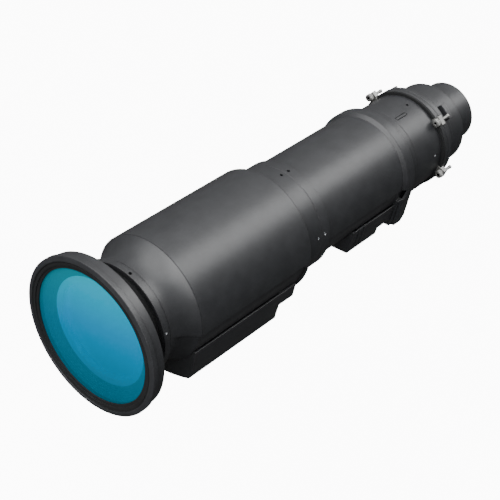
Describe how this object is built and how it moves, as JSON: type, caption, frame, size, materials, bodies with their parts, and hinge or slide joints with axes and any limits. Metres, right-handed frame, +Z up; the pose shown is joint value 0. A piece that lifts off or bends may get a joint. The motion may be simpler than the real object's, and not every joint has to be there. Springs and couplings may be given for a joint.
{
  "type": "motorised projection lens",
  "caption": "Long-throw motorised zoom lens for a large projector, with a wide coated front glass, moulded drive housings, mount flange and captive screws",
  "frame": {"origin": "on the optical axis at the rear seating face of the mount flange, where the pilot starts", "axes": "+Y is the optical axis towards the rear cap, -Y is the front glass, +Z is up, the drive housings hang towards -Z"},
  "size_m": [0.19, 0.669, 0.19],
  "materials": {
    "satin_black_paint": "satin black enamel on aluminium",
    "matte_black_paint": "flat black, light absorbing",
    "moulded_plastic": "fine moulded texture",
    "bright_steel": "plain machined steel",
    "brass_parts": "machined brass",
    "anodised_alloy": "dark anodised",
    "coated_glass": "polished, teal anti-reflection coating",
    "inner_glass": "polished, coated"
  },
  "bodies": {
    "base": {"front_collar": "satin_black_paint", "collar_set_screws": "bright_steel", "front_barrel": "satin_black_paint", "focus_guide_ring": "brass_parts", "focus_motor": "bright_steel", "focus_motor_bracket": "anodised_alloy", "front_housing": "moulded_plastic", "front_housing_screws": "bright_steel", "middle_collar_front": "satin_black_paint", "middle_collar_rear": "satin_black_paint", "middle_set_screws": "bright_steel", "mid_barrel": "satin_black_paint", "gear_case": "satin_black_paint", "mid_housing": "moulded_plastic", "mid_housing_screws": "bright_steel", "zoom_guide_tube": "anodised_alloy", "zoom_motor": "bright_steel", "zoom_motor_bracket": "anodised_alloy", "aperture_stop": "matte_black_paint", "rear_tube": "satin_black_paint", "tube_ring_nut": "anodised_alloy", "tube_set_screws": "bright_steel", "relay_cell": "matte_black_paint", "relay_element": "inner_glass", "harness_cover": "moulded_plastic", "black_ring": "matte_black_paint", "mount_flange": "satin_black_paint", "screw_clips": "bright_steel", "rear_barrel": "satin_black_paint", "rear_cap": "satin_black_paint", "rear_retainer": "matte_black_paint", "rear_element": "inner_glass"},
    "focus_group": {"front_ring": "satin_black_paint", "front_retainer": "matte_black_paint", "front_element": "coated_glass", "baffle_cone": "matte_black_paint", "second_element": "inner_glass", "focus_tube": "matte_black_paint", "focus_rear_element": "inner_glass", "focus_rear_retainer": "matte_black_paint"},
    "helicoid": {"focus_helicoid": "brass_parts"},
    "focus_gear": {"focus_pinion": "brass_parts"},
    "cam": {"zoom_cam_barrel": "anodised_alloy"},
    "zoom_gear": {"zoom_pinion": "brass_parts"},
    "variator": {"variator_cell": "anodised_alloy", "variator_element": "inner_glass", "variator_rollers": "bright_steel"},
    "compensator": {"compensator_cell": "anodised_alloy", "compensator_element": "inner_glass", "compensator_rollers": "bright_steel"},
    "screw_1": {"captive_screw_1": "bright_steel"},
    "screw_2": {"captive_screw_2": "bright_steel"},
    "screw_3": {"captive_screw_3": "bright_steel"},
    "screw_4": {"captive_screw_4": "bright_steel"}
  },
  "joints": [
    {"name": "focus_slide", "type": "slide", "parent": "base", "child": "focus_group", "axis": [0, 1, 0], "range_m": [-0.005, 0.005]},
    {"name": "helicoid_turn", "type": "hinge", "parent": "base", "child": "helicoid", "pos_m": [0, -0.48, 0], "axis": [0, 1, 0], "range_deg": [-60, 60]},
    {"name": "focus_pinion_spin", "type": "hinge", "parent": "base", "child": "focus_gear", "pos_m": [0.0405, -0.48, -0.07015], "axis": [0, 1, 0], "range_deg": [-400, 400]},
    {"name": "zoom_cam_turn", "type": "hinge", "parent": "base", "child": "cam", "pos_m": [0, -0.2, 0], "axis": [0, 1, 0], "range_deg": [0, 40]},
    {"name": "zoom_pinion_spin", "type": "hinge", "parent": "base", "child": "zoom_gear", "pos_m": [0.04383, -0.1, -0.05611], "axis": [0, 1, 0], "range_deg": [-560, 5]},
    {"name": "variator_slide", "type": "slide", "parent": "base", "child": "variator", "axis": [0, 1, 0], "range_m": [0, 0.045]},
    {"name": "compensator_slide", "type": "slide", "parent": "base", "child": "compensator", "axis": [0, 1, 0], "range_m": [-0.015, 0]},
    {"name": "screw_1_turn", "type": "hinge", "parent": "base", "child": "screw_1", "pos_m": [0.05309, -0.02, 0.04455], "axis": [0, 1, 0], "continuous": true},
    {"name": "screw_2_turn", "type": "hinge", "parent": "base", "child": "screw_2", "pos_m": [-0.05309, -0.02, 0.04455], "axis": [0, 1, 0], "continuous": true},
    {"name": "screw_3_turn", "type": "hinge", "parent": "base", "child": "screw_3", "pos_m": [0.06379, -0.02, -0.02708], "axis": [0, 1, 0], "continuous": true},
    {"name": "screw_4_turn", "type": "hinge", "parent": "base", "child": "screw_4", "pos_m": [-0.06379, -0.02, -0.02708], "axis": [0, 1, 0], "continuous": true}
  ],
  "couplings": [
    {"joint": "helicoid_turn", "follows": "focus_slide", "rad_per_m": 209.44},
    {"joint": "focus_pinion_spin", "follows": "focus_slide", "rad_per_m": -1361.4},
    {"joint": "variator_slide", "follows": "zoom_cam_turn", "m_per_rad": 0.064458},
    {"joint": "compensator_slide", "follows": "zoom_cam_turn", "m_per_rad": -0.021486},
    {"joint": "zoom_pinion_spin", "follows": "zoom_cam_turn", "ratio": -13.833}
  ]
}
